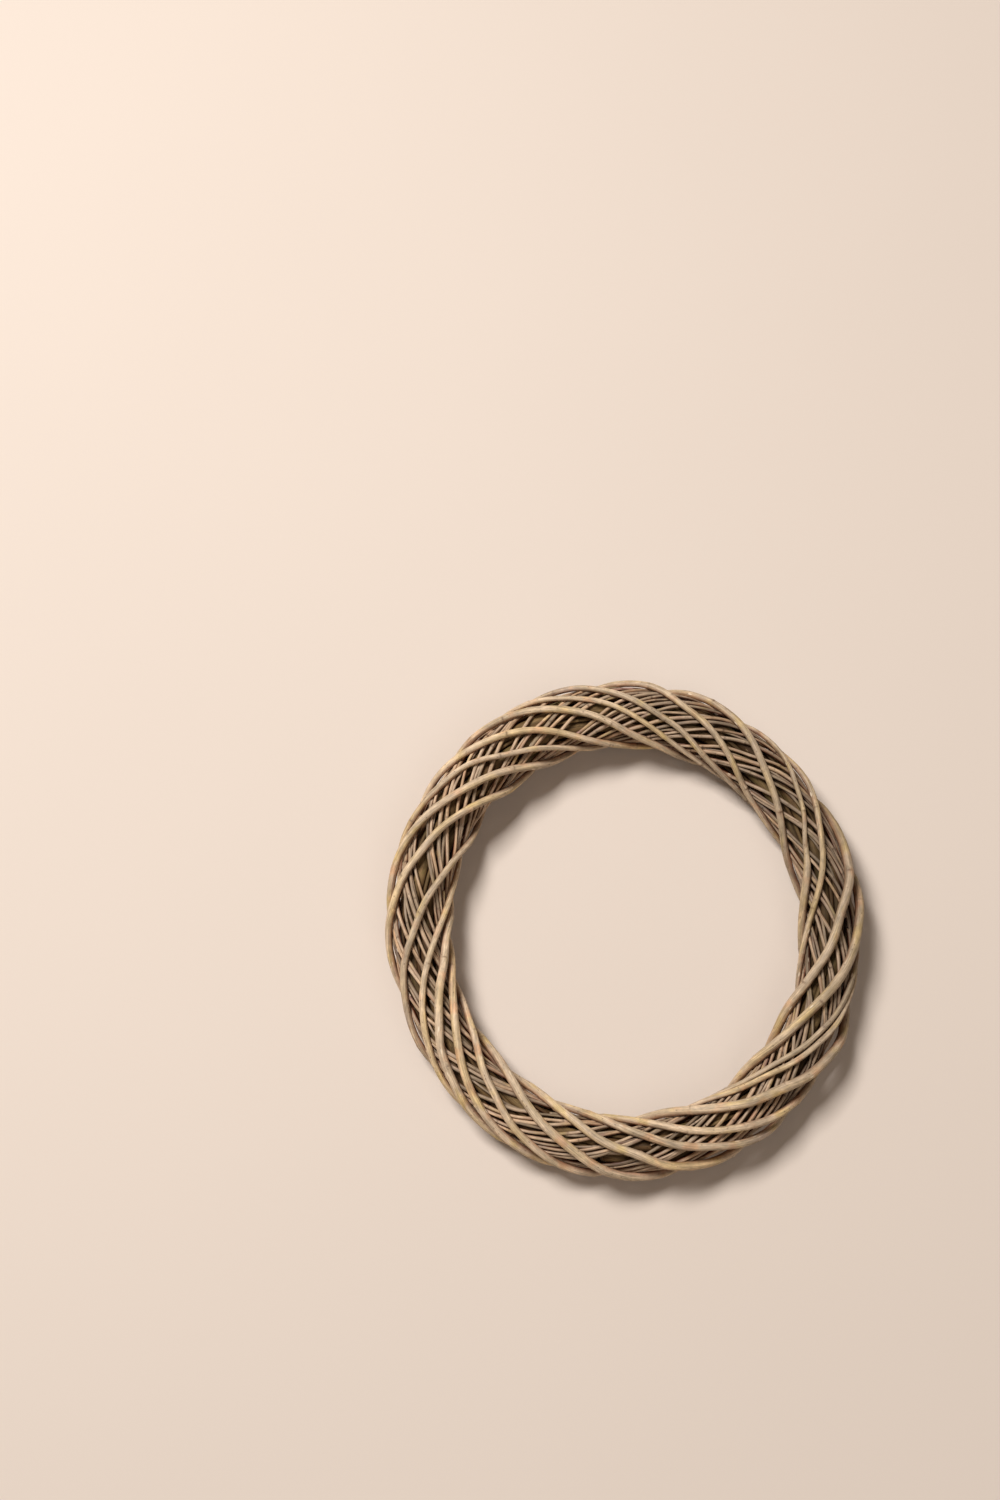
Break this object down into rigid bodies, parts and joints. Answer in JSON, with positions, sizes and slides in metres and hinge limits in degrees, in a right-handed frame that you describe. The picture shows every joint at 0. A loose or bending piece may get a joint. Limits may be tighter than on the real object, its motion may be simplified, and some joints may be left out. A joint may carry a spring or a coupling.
{
  "type": "willow wreath",
  "caption": "Round wreath of dried willow rods: slim weavers wound over a core of thick sticks, with light wrap rods spiralling over them the other way.",
  "frame": {"origin": "middle of the underside, on the surface that the wreath lies on, under the centre of the ring", "axes": "+Z out of the wreath's front, +Y towards its top (12 o'clock), +X to its right as seen from the front"},
  "size_m": [0.4882, 0.5144, 0.0746],
  "materials": {
    "wrap_bark": "dry light tan willow bark, matte, with fine lengthwise grain",
    "weaver_bark": "dry greyish tan willow bark, matte",
    "core_bark": "dark weathered willow bark, matte"
  },
  "bodies": {
    "root": {"core_stick_1": "core_bark", "core_stick_2": "core_bark", "core_stick_3": "core_bark", "core_stick_4": "core_bark", "core_stick_5": "core_bark", "core_stick_6": "core_bark", "core_stick_7": "core_bark", "weaver_rod_1": "weaver_bark", "weaver_rod_2": "weaver_bark", "weaver_rod_3": "weaver_bark", "weaver_rod_4": "weaver_bark", "weaver_rod_5": "weaver_bark", "weaver_rod_6": "weaver_bark", "weaver_rod_7": "weaver_bark", "weaver_rod_8": "weaver_bark", "weaver_rod_9": "weaver_bark", "weaver_rod_10": "weaver_bark", "weaver_rod_11": "weaver_bark", "weaver_rod_12": "weaver_bark", "weaver_rod_13": "weaver_bark", "weaver_rod_14": "weaver_bark", "weaver_rod_15": "weaver_bark", "weaver_rod_16": "weaver_bark", "weaver_rod_17": "weaver_bark", "wrap_rod_1": "wrap_bark", "wrap_rod_2": "wrap_bark", "wrap_rod_3": "wrap_bark", "wrap_rod_4": "wrap_bark", "wrap_rod_5": "wrap_bark", "wrap_rod_6": "wrap_bark", "wrap_rod_7": "wrap_bark"}
  },
  "joints": []
}
